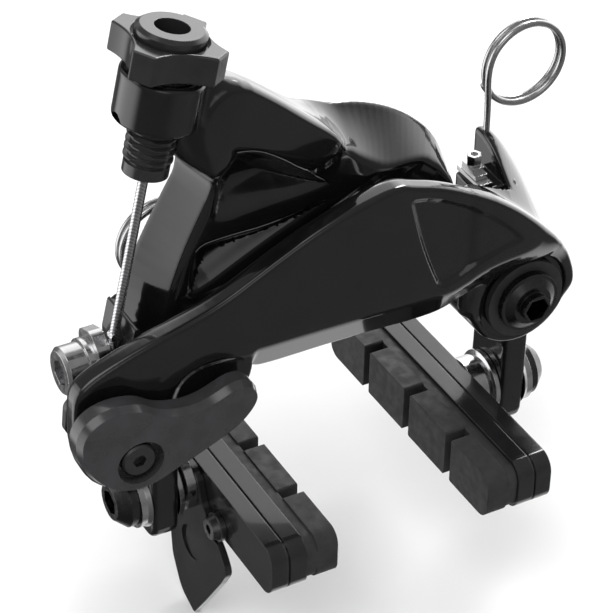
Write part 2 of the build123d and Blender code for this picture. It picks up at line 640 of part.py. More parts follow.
# ------------------------------------------------------------------ cable anchor
# (x, z, radius)
CARRIER_BLOCK = [
    (CARRIER_X, 1.6, 1.0), (CARRIER_X + 3.3, 1.6, 1.0), (CARRIER_X + 3.3, 11.0, 2.0),
    (CARRIER_X + 1.9, 16.2, 1.4), (CARRIER_X + 1.1, 16.2, 0.4), (CARRIER_X, 11.2, 0.6),
]
CARRIER_FLANGE = [
    (-53.2, -1.9, 2), (-52.6, 5.2, 2), (CARRIER_X + 1.0, 5.0, 1), (CARRIER_X + 3.2, 1.6, 0.6),
    (CARRIER_X + 1.0, -1.9, 1.5),
]
# (f, z, radius)
CLAMP_PLATE = [
    (4.6, ANCHOR_Z - 3.4, 1.0), (12.5, ANCHOR_Z - 3.4, 1.0), (12.5, ANCHOR_Z + 4.4, 2.0),
    (9.0, ANCHOR_Z + 6.4, 2.0), (4.6, ANCHOR_Z + 4.8, 2.0),
]
PLATE_BACK_X = PLATE_X - 2.2
WASHER_X = PLATE_X - 2.22       # washer face towards the plate
HEAD_X = WASHER_X - 1.32        # bolt head face towards the washer


def anchor_carrier():
    carrier = slab_f(CARRIER_BLOCK, 5.2, 15.3)
    carrier += slab_f(CARRIER_FLANGE, 12.7, 14.0)
    # cam pin slot, across the cable line
    slot_half = 1.62
    slot = cable_box((CAM_X, CAM_Z), -1.7, -slot_half, 2.9, slot_half, slot_half * 0.95)
    carrier -= slab_f(slot, 10, 14.2)
    # clearance for the shaft's disc as the carrier slides
    steps = 11
    for k in range(steps + 1):
        slide = 5.1 * k / steps
        x, z = QR_X + ALONG[0] * slide, QR_Z + ALONG[1] * slide
        carrier -= cylinder_f(x, z, 5.95, 14.0, 20)
    # clear everything above the flange on the cable's side
    carrier -= slab_f(box(-60, 5.6, CARRIER_X, 30, 0.2), 0, 30)
    carrier -= cylinder_x(ANCHOR_F, ANCHOR_Z, 2.02, CARRIER_X - 1, CARRIER_X + 6)
    # narrow groove at the top
    carrier -= slab_f(box(CARRIER_X + 1.5, 13.4, CARRIER_X + 2.0, 19, 0.1), 4.0, 6.0)
    carrier = largest(carrier)
    return carrier + slab_f(cable_box(RIB_CENTRE, 0.9, -1.2, -0.9, 1.6, 0.7), 13.4, 17.0)


def cable_clamp_plate():
    plate = slab_x(CLAMP_PLATE, PLATE_BACK_X, PLATE_X)
    return plate - cylinder_x(ANCHOR_F, ANCHOR_Z, 2.08, PLATE_X - 3, PLATE_X + 1)


def anchor_washer():
    washer = cylinder_x(ANCHOR_F, ANCHOR_Z, 4.6, WASHER_X - 1.3, WASHER_X)
    return washer - cylinder_x(ANCHOR_F, ANCHOR_Z, 2.08, WASHER_X - 3, WASHER_X + 1)


def anchor_bolt():
    bolt = (cylinder_x(ANCHOR_F, ANCHOR_Z, 4.15, HEAD_X - 3.3, HEAD_X)
            + cone_x(ANCHOR_F, ANCHOR_Z, 3.6, 4.15, HEAD_X - 3.9, HEAD_X - 3.3))
    bolt += cylinder_x(ANCHOR_F, ANCHOR_Z, 2.0, HEAD_X - 0.1, CARRIER_X + 3.2)
    return bolt - hexagon(plane_x(HEAD_X - 4.2, ANCHOR_F, ANCHOR_Z), 4.0, 2.8)


def cable_clamped_end():
    bottom = 0.4
    length = CLAMP_TOP_Z - WIRE_R - 0.08 - bottom
    plane = Plane(point(CLAMP_X, CABLE_F, bottom), z_dir=(0, 0, 1))
    return Solid.make_cylinder(WIRE_R, length, plane)


def inner_cable():
    """Free span up into the adjuster stem, with a short cross cylinder at its foot."""
    length = (ADJUSTER_Z - CLAMP_TOP_Z) / ALONG[1] + 12.4
    span = Solid.make_cylinder(WIRE_R, length, tilted_plane(CLAMP_X, CABLE_F, CLAMP_TOP_Z))
    return span + cylinder_f(CLAMP_X, CLAMP_TOP_Z, WIRE_R, CABLE_F - WIRE_R, CABLE_F + WIRE_R)


save("anchor_carrier", anchor_carrier())
save("cable_clamp_plate", cable_clamp_plate())
save("anchor_washer", anchor_washer())
save("anchor_bolt", anchor_bolt())
save("cable_clamped_end", cable_clamped_end())
save("inner_cable", inner_cable())


# ------------------------------------------------------------------ brake pads
def pad_bar(side, half_height, f0, f1, radius, x0, x1):
    """Bar along the pad, centred on its height."""
    outline = box(f0, PAD_Z - half_height, f1, PAD_Z + half_height, radius)
    return slab_x(outline, x0, x1, side)


def on_bolt(side, radius, x0, x1):
    return cylinder_x(PAD_BOLT_F, PAD_Z, radius, x0, x1, side)


def on_bolt_cone(side, r0, r1, x0, x1):
    return cone_x(PAD_BOLT_F, PAD_Z, r0, r1, x0, x1, side)


def pad_holder(side):
    """Cartridge: outer shell and inner rail with a groove line between them."""
    half = CARTRIDGE_HEIGHT / 2
    holder = pad_bar(side, half, PAD_F0, PAD_F1, 3.2, 23.9, HOLDER_X1)
    holder += pad_bar(side, half - 0.35, PAD_F0 + 0.35, PAD_F1 - 0.35, 3.0, 23.4, 24.0)
    holder += pad_bar(side, half, PAD_F0, PAD_F1, 3.2, HOLDER_X0, 23.5)
    # undercut channel, open at the rear end
    holder -= pad_bar(side, 2.6, PAD_F0 - 5, PAD_F1 - 4.2, 0.4, HOLDER_X0 - 0.1, 23.0)
    holder -= pad_bar(side, 3.3, PAD_F0 - 5, PAD_F1 - 4.2, 0.4, 21.9, 23.0)
    holder -= on_bolt(side, M6_R + CLEARANCE, 22, 30)
    return holder - cylinder_x(RETAINER_F, RETAINER_Z, 1.3, 22, 30, side)


def pad_insert(side):
    """Rubber: base, four blocks and a key for the holder's channel."""
    half = RUBBER_HEIGHT / 2
    margin, gap, count = 0.4, 1.9, 4
    insert = pad_bar(side, half - 0.3, PAD_F0 + margin, PAD_F1 - margin, 2.8,
                     18.3, HOLDER_X0 - 0.03)
    length = (PAD_LENGTH - 2 * margin - gap * (count - 1)) / count
    for k in range(count):
        f0 = PAD_F0 + margin + k * (length + gap)
        f1 = f0 + length
        rear_r = 0.4 if k else 2.6
        front_r = 0.4 if k < count - 1 else 2.6
        block = [(f0, PAD_Z - half, rear_r), (f1, PAD_Z - half, front_r),
                 (f1, PAD_Z + half, front_r), (f0, PAD_Z + half, rear_r)]
        insert += slab_x(block, PAD_X, 18.4, side)
    insert += pad_bar(side, 2.5, PAD_F0 + 1.0, PAD_F1 - 4.4, 0.3, HOLDER_X0 - 0.1, 22.9)
    insert += pad_bar(side, 3.2, PAD_F0 + 1.0, PAD_F1 - 4.4, 0.3, 22.0, 22.9)
    return insert - on_bolt(side, M6_R + 0.3, 22.4, 30)


def pad_insert_screw(side):
    place = (RETAINER_F, RETAINER_Z)
    screw = cylinder_x(*place, 1.25, 23.1, HOLDER_X1 + 0.1, side)
    screw += cylinder_x(*place, 2.6, HOLDER_X1 + 0.02, HOLDER_X1 + 1.0, side)
    screw += cone_x(*place, 2.3, 1.9, HOLDER_X1 + 1.0, HOLDER_X1 + 2.3, side)
    return screw - hexagon(plane_x(HOLDER_X1 + 1.1, *place, side), 1.6, 3)


def pad_bolt(side):
    bolt = on_bolt(side, M6_R, 23.05, 39.0)
    bolt += on_bolt(side, 5.0, 38.75, 40.2)
    bolt += on_bolt_cone(side, 5.0, 3.2, 40.2, 42.2)
    return bolt - hexagon(plane_x(39.4, PAD_BOLT_F, PAD_Z, side), 4.0, 5)


def bored(washer, side):
    return washer - on_bolt(side, M6_R + 0.06, 20, 45)


def wheel_guide_fin():
    """Leaf-shaped fin between the left holder and its washers."""
    # (f, z, radius)
    outline = [
        (1.6, -21.2, 3), (9.8, -21.2, 3), (12.4, -27.0, 3), (19.0, -32.4, 4),
        (21.4, -35.2, 3), (18.9, -39.4, 6), (13.2, -47.8, 8), (8.8, -54.0, 0.8),
        (3.8, -52.2, 5), (0.5, -46.5, 6), (-0.3, -40, 8), (0.2, -30, 8),
    ]
    fin = slab_x(outline, HOLDER_X1 + 0.05, HOLDER_X1 + 1.27, LEFT)
    fin -= on_bolt(LEFT, M6_R + 0.06, 20, 30)
    fin -= cylinder_x(RETAINER_F, RETAINER_Z, 3.0, 20, 30, LEFT)
    # crescent recess on the outer face
    crescent = (cylinder_x(7.6, -38.6, 3.3, HOLDER_X1 + 0.75, HOLDER_X1 + 1.6, LEFT)
                - cylinder_x(9.2, -37.6, 3.2, HOLDER_X1, HOLDER_X1 + 2, LEFT))
    return fin - crescent


# the left cup washer starts outside the fin
for side, name, cup_gap in ((LEFT, "left", 1.32), (RIGHT, "right", 0.05)):
    save("pad_holder_" + name, pad_holder(side))
    save("pad_insert_" + name, pad_insert(side))
    save("pad_insert_screw_" + name, pad_insert_screw(side))
    save("pad_bolt_" + name, pad_bolt(side))
    outer = on_bolt(side, 5.6, 37.6, 38.7) + on_bolt_cone(side, 6.0, 5.6, 36.85, 37.6)
    save("pad_washer_outer_" + name, bored(outer, side))
    convex = on_bolt(side, 5.8, 30.9, 31.75) + on_bolt_cone(side, 4.0, 5.8, 29.95, 30.9)
    save("pad_washer_convex_" + name, bored(convex, side))
    cup = on_bolt(side, 5.2, HOLDER_X1 + cup_gap, 29.9)
    save("pad_washer_cup_" + name, bored(cup, side))
save("wheel_guide_fin", wheel_guide_fin())
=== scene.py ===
"""A cable-pulled brake with two pivoting arms, their pivots side by side along X.

The scene is in metres with +Z up; the front of the brake faces -Y and right is +X.
The CAD pieces get procedural materials, and both arms are replaced by sculpted meshes.
"""
import bpy
import json
import math
import numpy as np
from mathutils import Vector, Matrix


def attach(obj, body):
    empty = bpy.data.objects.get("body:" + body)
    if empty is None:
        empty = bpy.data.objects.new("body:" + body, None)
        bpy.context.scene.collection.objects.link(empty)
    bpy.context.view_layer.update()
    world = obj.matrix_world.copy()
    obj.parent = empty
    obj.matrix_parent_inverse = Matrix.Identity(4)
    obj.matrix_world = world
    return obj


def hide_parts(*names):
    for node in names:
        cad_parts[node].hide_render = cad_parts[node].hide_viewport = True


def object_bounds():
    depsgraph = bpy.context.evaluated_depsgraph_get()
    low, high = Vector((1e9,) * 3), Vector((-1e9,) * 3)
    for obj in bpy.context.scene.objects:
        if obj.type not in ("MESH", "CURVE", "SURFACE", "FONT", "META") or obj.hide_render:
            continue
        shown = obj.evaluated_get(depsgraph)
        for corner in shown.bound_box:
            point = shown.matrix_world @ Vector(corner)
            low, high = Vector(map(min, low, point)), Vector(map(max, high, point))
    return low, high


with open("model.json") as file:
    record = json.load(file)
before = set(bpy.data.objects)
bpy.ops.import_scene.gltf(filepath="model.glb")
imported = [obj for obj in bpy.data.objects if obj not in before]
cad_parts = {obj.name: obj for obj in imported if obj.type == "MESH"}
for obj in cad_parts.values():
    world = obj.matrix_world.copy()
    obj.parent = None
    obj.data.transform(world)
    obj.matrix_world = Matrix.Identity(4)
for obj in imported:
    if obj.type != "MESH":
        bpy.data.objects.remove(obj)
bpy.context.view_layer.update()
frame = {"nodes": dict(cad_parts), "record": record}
scene = bpy.context.scene
MM = 0.001


# ------------------------------------------------------------------ material kit
def map_range(tree, value, source, target):
    """Add a Map Range node that takes the source span to the target span."""
    node = tree.nodes.new("ShaderNodeMapRange")
    sockets = ("From Min", "From Max", "To Min", "To Max")
    for socket, number in zip(sockets, (*source, *target)):
        node.inputs[socket].default_value = number
    tree.links.new(value, node.inputs["Value"])
    return node


class Material:
    """One Principled material whose textures use object coordinates in metres."""

    def __init__(self, name):
        self.material = bpy.data.materials.new(name)
        self.material.use_nodes = True
        self.tree = self.material.node_tree
        self.shader = self.tree.nodes["Principled BSDF"]
        self.coords = self.node("ShaderNodeTexCoord").outputs["Object"]

    def node(self, kind, **properties):
        node = self.tree.nodes.new(kind)
        for key, value in properties.items():
            setattr(node, key, value)
        return node

    def link(self, source, target):
        self.tree.links.new(source, target)

    def set(self, **values):
        for key, value in values.items():
            self.shader.inputs[key.replace("_", " ")].default_value = value

    def noise(self, scale, detail=3.0, roughness=0.55):
        node = self.node("ShaderNodeTexNoise")
        node.inputs["Scale"].default_value = scale
        node.inputs["Detail"].default_value = detail
        node.inputs["Roughness"].default_value = roughness
        self.link(self.coords, node.inputs["Vector"])
        return node.outputs["Fac"]

    def roughness(self, factor, low, high):
        node = map_range(self.tree, factor, source=(0.35, 0.65), target=(low, high))
        self.link(node.outputs["Result"], self.shader.inputs["Roughness"])

    def colour(self, factor, dark, light, span=(0.3, 0.7)):
        node = self.node("ShaderNodeValToRGB")
        for stop, position, rgb in zip(node.color_ramp.elements, span, (dark, light)):
            stop.position = position
            stop.color = (*rgb, 1)
        self.link(factor, node.inputs["Fac"])
        self.link(node.outputs["Color"], self.shader.inputs["Base Color"])

    def bump(self, factor, height, strength, edge=None):
        """Bump the surface; edge is the radius to which corners are shaded round."""
        node = self.node("ShaderNodeBump")
        node.inputs["Strength"].default_value = strength
        node.inputs["Distance"].default_value = height
        self.link(factor, node.inputs["Height"])
        if edge:
            bevel = self.node("ShaderNodeBevel")
            bevel.samples = 4
            bevel.inputs["Radius"].default_value = edge
            self.link(bevel.outputs["Normal"], node.inputs["Normal"])
        self.link(node.outputs["Normal"], self.shader.inputs["Normal"])


def tinted(base, tint=(1, 1, 1)):
    return tuple(base * channel for channel in tint)


def paint(name, base, rough, coat, edge=None, peel=0.000004):
    """Gloss paint or anodising: orange-peel bump, faint dust in the roughness."""
    look = Material(name)
    look.colour(look.noise(scale=260.0, detail=4.0), tinted(base * 0.8),
                tinted(base, tint=(1.15, 1.15, 1.25)))
    look.roughness(look.noise(scale=90.0, detail=5.0), low=rough * 0.75, high=rough * 1.35)
    look.set(Coat_Weight=coat, Coat_Roughness=0.035)
    look.bump(look.noise(scale=1500.0, detail=2.0), height=peel, strength=0.6, edge=edge)
    return look.material


def metal(name, base, rough, edge=None, scratch=0.000004, tint=(1, 1, 1.01)):
    """Bare metal with fine mottling and scratches."""
    look = Material(name)
    look.colour(look.noise(scale=700.0, detail=6.0, roughness=0.6),
                tinted(base * 0.86, tint), tinted(base, tint))
    look.roughness(look.noise(scale=1100.0, detail=5.0, roughness=0.6),
                   low=rough * 0.7, high=rough * 1.4)
    look.set(Metallic=1.0)
    look.bump(look.noise(scale=2600.0, detail=3.0, roughness=0.6),
              height=scratch, strength=0.5, edge=edge)
    return look.material


def plastic(name, base, rough, grain, edge):
    """Uncoated plastic or rubber with a fine moulded grain."""
    look = Material(name)
    look.colour(look.noise(scale=420.0, detail=5.0), tinted(base * 0.8), tinted(base * 1.2))
    look.roughness(look.noise(scale=600.0, detail=4.0), low=rough * 0.85, high=rough * 1.15)
    look.set(Coat_Weight=0.0, Coat_Roughness=0.2)
    look.bump(look.noise(scale=3200.0), height=grain, strength=0.8, edge=edge)
    return look.material


def strand(name):
    """Wound wire: fine helical lay on the cable."""
    look = Material(name)
    wave = look.node("ShaderNodeTexWave", wave_type="BANDS",
                     bands_direction="DIAGONAL", wave_profile="SIN")
    wave.inputs["Scale"].default_value = 900.0
    wave.inputs["Distortion"].default_value = 0.4
    look.link(look.coords, wave.inputs["Vector"])
    lay = wave.outputs["Fac"]
    look.colour(lay, dark=(0.5, 0.5, 0.51), light=(0.8, 0.8, 0.82), span=(0.1, 0.7))
    look.set(Metallic=1.0)
    look.roughness(look.noise(scale=900.0), low=0.2, high=0.34)
    look.bump(lay, height=0.00003, strength=0.5)
    return look.material


# Material slot: its maker and settings. Edge, peel, scratch and grain are in metres.
LOOKS = {
    "arm_gloss": (paint, dict(base=0.0045, rough=0.11, coat=0.7)),
    "lever_gloss": (paint, dict(base=0.028, rough=0.20, coat=0.5, edge=0.00025)),
    "holder_gloss": (paint, dict(base=0.010, rough=0.15, coat=0.6, edge=0.0003)),
    "adjuster_black": (paint, dict(base=0.014, rough=0.19, coat=0.3, edge=0.00022,
                                   peel=0.000006)),
    "nylon_black": (plastic, dict(base=0.018, rough=0.46, grain=0.00001, edge=0.0002)),
    "carrier_black": (paint, dict(base=0.010, rough=0.26, coat=0.2, edge=0.0002)),
    "fin_black": (paint, dict(base=0.010, rough=0.17, coat=0.5, edge=0.00025)),
    "steel_bright": (metal, dict(base=0.72, rough=0.17, edge=0.00015)),
    "steel_dark": (metal, dict(base=0.10, rough=0.24, edge=0.0002)),
    "screw_grey": (metal, dict(base=0.16, rough=0.34, edge=0.00015)),
    "spring_steel": (metal, dict(base=0.62, rough=0.22, scratch=0.000006)),
    "cable_steel": (strand, {}),
    "bush": (metal, dict(base=0.5, rough=0.36, tint=(1.0, 0.72, 0.34))),
    "rubber": (plastic, dict(base=0.022, rough=0.62, grain=0.00002, edge=0.0003)),
}
materials = {name: make(name, **settings) for name, (make, settings) in LOOKS.items()}


def dress(obj, slot):
    obj.data.materials.clear()
    obj.data.materials.append(materials[slot])


def dress_cad_pieces():
    slots = {part["node"]: part["material_slot"] for part in frame["record"]["subparts"]}
    for name, obj in frame["nodes"].items():
        dress(obj, slots[name])
        for polygon in obj.data.polygons:
            polygon.use_smooth = True
        edges = obj.modifiers.new("edges", "EDGE_SPLIT")
        edges.split_angle = math.radians(28)


# ------------------------------------------------------------------ floor and studio
def build_floor(half=1.2):
    """A square of the given half width, level with the lowest point of the brake."""
    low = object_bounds()[0][2]
    mesh = bpy.data.meshes.new("floor")
    corners = [(-half, -half, low), (half, -half, low), (half, half, low), (-half, half, low)]
    mesh.from_pydata(corners, [], [(0, 1, 2, 3)])
    floor = bpy.data.objects.new("floor", mesh)
    scene.collection.objects.link(floor)
    look = Material("floor")
    look.colour(look.noise(scale=30.0), dark=(0.80, 0.80, 0.80), light=(0.83, 0.83, 0.83))
    look.set(Roughness=0.75)
    mesh.materials.append(look.material)
    floor.visible_glossy = False


# Soft panels: direction, cosine where they start, cosine where they are full, brightness
PANELS = [
    ((0.88, 0.47, 0.02), 0.62, 0.93, 1.9),
    ((-0.82, 0.46, -0.14), 0.72, 0.95, 1.9),
    ((0.36, 0.78, 0.52), 0.86, 0.97, 1.3),
    ((-0.50, 0.10, 0.86), 0.90, 0.985, 2.2),
    ((0.42, -0.70, -0.56), 0.80, 0.99, 0.10),
    ((-0.30, -0.85, 0.45), 0.93, 0.985, 0.7),
    ((0.40, 0.24, -0.88), 0.80, 0.97, 0.85),
]


def build_world():
    """Reflections see soft panels; the camera and diffuse rays see plain white."""
    world = bpy.data.worlds.new("studio")
    scene.world = world
    world.use_nodes = True
    tree = world.node_tree
    tree.nodes.clear()
    output = tree.nodes.new("ShaderNodeOutputWorld")
    coords = tree.nodes.new("ShaderNodeTexCoord")

    def calculate(kind, operation, *sources):
        node = tree.nodes.new(kind)
        node.operation = operation
        for socket, source in zip(node.inputs, sources):
            if isinstance(source, bpy.types.NodeSocket):
                tree.links.new(source, socket)
            else:
                socket.default_value = source
        return node

    def white(strength):
        node = tree.nodes.new("ShaderNodeBackground")
        node.inputs["Color"].default_value = (1, 1, 1, 1)
        node.inputs["Strength"].default_value = strength
        return node

    def mix(*sources):
        node = tree.nodes.new("ShaderNodeMixShader")
        for socket, source in zip(node.inputs, sources):
            tree.links.new(source, socket)
        return node.outputs[0]

    ray = calculate("ShaderNodeVectorMath", "NORMALIZE", coords.outputs["Generated"]).outputs[0]
    total = None
    for direction, start, full, brightness in PANELS:
        towards = tuple(Vector(direction).normalized())
        cosine = calculate("ShaderNodeVectorMath", "DOT_PRODUCT", ray, towards).outputs["Value"]
        panel = map_range(tree, cosine, source=(start, full), target=(0.0, brightness))
        panel.interpolation_type = "SMOOTHSTEP"
        glow = panel.outputs["Result"]
        if total is None:
            total = glow
        else:
            total = calculate("ShaderNodeMath", "ADD", total, glow).outputs[0]
    # a faint glow that brightens with height
    split = tree.nodes.new("ShaderNodeSeparateXYZ")
    tree.links.new(ray, split.inputs[0])
    sky = map_range(tree, split.outputs["Z"], source=(-1.0, 0.9), target=(0.085, 0.30))
    total = calculate("ShaderNodeMath", "ADD", total, sky.outputs["Result"]).outputs[0]
    panels = tree.nodes.new("ShaderNodeBackground")
    tree.links.new(total, panels.inputs["Strength"])
    backdrop = white(strength=1.0)
    diffuse = white(strength=0.95)
    rays = tree.nodes.new("ShaderNodeLightPath").outputs
    lit = mix(rays["Is Glossy Ray"], diffuse.outputs[0], panels.outputs[0])
    seen = mix(rays["Is Camera Ray"], lit, backdrop.outputs[0])
    tree.links.new(seen, output.inputs[0])


def area_light(name, location, size, energy, glossy=True):
    """A rectangular lamp aimed just above the origin."""
    target = Vector((0, 0, 0.01))
    lamp = bpy.data.lights.new(name, "AREA")
    lamp.shape = "RECTANGLE"
    lamp.size, lamp.size_y = size
    lamp.energy = energy
    obj = bpy.data.objects.new(name, lamp)
    obj.location = location
    obj.rotation_mode = "QUATERNION"
    obj.rotation_quaternion = (target - Vector(location)).to_track_quat("-Z", "Y")
    obj.visible_glossy = glossy
    scene.collection.objects.link(obj)


def build_camera(azimuth, elevation, roll, distance):
    """Look at the origin; the angles are in radians."""
    cos_az, sin_az = math.cos(azimuth), math.sin(azimuth)
    cos_el, sin_el = math.cos(elevation), math.sin(elevation)
    level = Vector((cos_az, sin_az, 0))
    back = Vector((sin_az * cos_el, -cos_az * cos_el, sin_el))
    upright = Vector((-sin_az * sin_el, cos_az * sin_el, cos_el))
    right = level * math.cos(roll) - upright * math.sin(roll)
    up = level * math.sin(roll) + upright * math.cos(roll)
    pose = Matrix((right, up, back)).transposed().to_4x4()
    pose.translation = back * distance
    camera = bpy.data.objects.new("camera", bpy.data.cameras.new("camera"))
    scene.collection.objects.link(camera)
    camera.matrix_world = pose
    camera.data.sensor_width = 36.0
    camera.data.lens = 146.81892333
    camera.data.shift_x = -0.016476346
    camera.data.shift_y = -0.020717781
    camera.data.clip_start = 0.01
    scene.camera = camera


dress_cad_pieces()
build_floor()
build_world()
area_light("key", location=(-0.25, -0.25, 0.55), size=(0.35, 0.35), energy=2.2, glossy=False)
area_light("rim", location=(0.35, 0.32, 0.42), size=(0.10, 0.30), energy=1.4)
build_camera(azimuth=math.radians(-29.73), elevation=math.radians(35.62),
             roll=math.radians(-1.46), distance=0.4257)
scene.view_settings.view_transform = "Standard"


# ------------------------------------------------------------------ distance field kit
# An arm is a distance field over (x, fwd, z) in millimetres, negative inside, with
# fwd = -Y. The last argument of join, meet and cut is the width of the blend.
def join(one, other, blend):
    weight = np.clip(0.5 + 0.5 * (other - one) / blend, 0, 1)
    return other * (1 - weight) + one * weight - blend * weight * (1 - weight)


def meet(one, other, blend):
    return -join(-one, -other, blend)


def cut(shape, tool, blend):
    return meet(shape, -tool, blend)


def ease(start, end, value):
    """Smooth step from 0 at start to 1 at end."""
    part = np.clip((value - start) / (end - start), 0, 1)
    return part * part * (3 - 2 * part)


def between(value, low, high):
    return np.maximum(low - value, value - high)


def disc(x, z, centre, radius):
    return np.sqrt((x - centre[0]) ** 2 + (z - centre[1]) ** 2) - radius


class Outline:
    """Signed distance to a closed outline whose corners are cut round."""

    def __init__(self, points, rounds=2):
        points = np.array(points, float)
        for _ in range(rounds):
            ahead = np.roll(points, -1, 0)
            pairs = [0.75 * points + 0.25 * ahead, 0.25 * points + 0.75 * ahead]
            points = np.stack(pairs, 1).reshape(-1, 2)
        self.starts, self.ends = points, np.roll(points, -1, 0)

    def __call__(self, across, up):
        across, up = np.broadcast_arrays(across, up)
        shape = across.shape
        across, up = across.ravel(), up.ravel()
        nearest = np.full(len(across), 1e9)
        inside = np.zeros(len(across), bool)
        for (x0, y0), (x1, y1) in zip(self.starts, self.ends):
            run, rise = x1 - x0, y1 - y0
            dx, dy = across - x0, up - y0
            along = np.clip((dx * run + dy * rise) / (run * run + rise * rise + 1e-12), 0, 1)
            nearest = np.minimum(nearest, (dx - run * along) ** 2 + (dy - rise * along) ** 2)
            if y0 != y1:
                inside ^= ((y0 > up) != (y1 > up)) & (across < run * (up - y0) / rise + x0)
        return (np.sqrt(nearest) * np.where(inside, -1, 1)).reshape(shape)


def surface_nets(field, low, high, cell):
    """Mesh the zero surface of a field. Returns vertices, quads and normals."""
    axes = [np.arange(low[i], high[i] + cell, cell) for i in range(3)]
    values = field(axes[0][:, None, None], axes[1][None, :, None], axes[2][None, None, :])
    values = np.broadcast_to(values, tuple(len(axis) for axis in axes))
    inside = values < 0
    nx, ny, nz = (count - 1 for count in values.shape)

    # one vertex in each cell whose corners lie on both sides of the surface
    corners = sum(inside[i:i + nx, j:j + ny, k:k + nz].astype(np.int8)
                  for i in (0, 1) for j in (0, 1) for k in (0, 1))
    active = (corners > 0) & (corners < 8)
    cells = np.argwhere(active)
    index = np.full(active.shape, -1, np.int64)
    index[active] = np.arange(len(cells))

    # place it at the mean of the crossings on the twelve edges of its cell
    offsets = np.zeros((len(cells), 3))
    crossings = np.zeros(len(cells))
    for axis in range(3):
        others = [other for other in range(3) if other != axis]
        for i in (0, 1):
            for j in (0, 1):
                near = np.zeros(3, int)
                near[others] = i, j
                far = near.copy()
                far[axis] = 1
                value_near = values[tuple(cells.T + near[:, None])]
                value_far = values[tuple(cells.T + far[:, None])]
                crossed = (value_near < 0) != (value_far < 0)
                gap = np.where(crossed, value_near - value_far, 1)
                point = np.tile(near.astype(float), (len(cells), 1))
                point[:, axis] = np.where(crossed, value_near / gap, 0)
                offsets[crossed] += point[crossed]
                crossings[crossed] += 1
    vertices = (cells + offsets / crossings[:, None]) * cell + np.array(low)

    # one outward quad around each crossed grid edge
    quads = []
    for axis, (first, second) in enumerate([(1, 2), (2, 0), (0, 1)]):
        near, far = [slice(None)] * 3, [slice(None)] * 3
        near[axis], far[axis] = slice(None, -1), slice(1, None)
        inside_near, inside_far = inside[tuple(near)], inside[tuple(far)]
        edges = np.argwhere(inside_near != inside_far)
        kept = np.ones(len(edges), bool)
        for other in (first, second):
            kept &= (edges[:, other] > 0) & (edges[:, other] < values.shape[other] - 1)
        edges = edges[kept]
        ring = []
        for i, j in ((1, 1), (0, 1), (0, 0), (1, 0)):
            beside = edges.copy()
            beside[:, first] -= i
            beside[:, second] -= j
            ring.append(index[tuple(beside.T)])
        quad = np.stack(ring, 1)
        flip = inside_far[tuple(edges.T)]
        quad[flip] = quad[flip][:, ::-1]
        quads.append(quad)

    def sample(points):
        return field(points[:, 0], points[:, 1], points[:, 2])

    def gradient(points, reach):
        slopes = np.zeros_like(points)
        for i in range(3):
            shift = np.zeros(3)
            shift[i] = reach
            slopes[:, i] = (sample(points + shift) - sample(points - shift)) / (2 * reach)
        return slopes

    # pull the vertices onto the surface, by less than half a cell at a time
    for _ in range(2):
        slopes = gradient(vertices, reach=0.05)
        steepness = np.maximum((slopes ** 2).sum(1), 0.15)
        move = -(sample(vertices) / steepness)[:, None] * slopes
        length = np.linalg.norm(move, axis=1)
        move *= np.minimum(1, 0.45 * cell / np.maximum(length, 1e-9))[:, None]
        vertices = vertices + move
    normals = gradient(vertices, reach=0.14)
    normals /= np.linalg.norm(normals, axis=1)[:, None] + 1e-12
    return vertices, np.concatenate(quads), normals


CELL = 0.42


def sculpt(node, field, low, high, body):
    """Mesh a field between two corners (x, fwd, z) in place of a CAD node."""
    points, quads, normals = surface_nets(field, low, high, CELL)
    vertices = np.stack([points[:, 0], -points[:, 1], points[:, 2]], 1) * MM
    normals = np.stack([normals[:, 0], -normals[:, 1], normals[:, 2]], 1)
    name = node + "_body"
    mesh = bpy.data.meshes.new(name)
    # turning fwd into -Y mirrors the mesh, so the quads are reversed to face outward
    mesh.from_pydata(vertices.tolist(), [], quads[:, ::-1].tolist())
    mesh.update()
    mesh.polygons.foreach_set("use_smooth", np.ones(len(mesh.polygons), bool))
    mesh.normals_split_custom_set_from_vertices(normals.tolist())
    obj = bpy.data.objects.new(name, mesh)
    scene.collection.objects.link(obj)
    dress(obj, "arm_gloss")
    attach(obj, body)
    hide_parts(node)


# ------------------------------------------------------------------ shared by both arms
# "out" is the distance from the middle plane, towards the arm's own pivot.
PIVOT = (31.0, 0.0)  # (out, z)
BORE_RADIUS = 5.63
FLANGE_RADIUS = 8.5
LEG_OUT, LEG_HALF = 34.3, 2.5  # middle and half thickness of the leg
PAD_FWD, PAD_Z = 5.6, -25.7  # centre of the upright pad slot
PAD_SLOT_RADIUS, PAD_SLOT_HALF = 3.15, 2.2  # end radius, half of the straight part
TILT = math.radians(11.8)  # adjuster axis, leaning from +Z towards +X

# (fwd, z)
LEG = Outline([
    (1.2, 8), (10.8, 8), (11.3, -4), (11.4, -16), (11.4, -26), (11.0, -32.6), (6, -32.9),
    (1.0, -32.6), (0.6, -26), (0.8, -14), (1.4, -4)])


def tilted(x, z, centre_x, centre_z):
    """Distances along and across the tilted axis through a centre."""
    dx, dz = x - centre_x, z - centre_z
    return (dx * math.sin(TILT) + dz * math.cos(TILT),
            dx * math.cos(TILT) - dz * math.sin(TILT))


def pad_leg(out, fwd, z):
    return meet(LEG(fwd, z), np.abs(out - LEG_OUT) - LEG_HALF, 1.1)


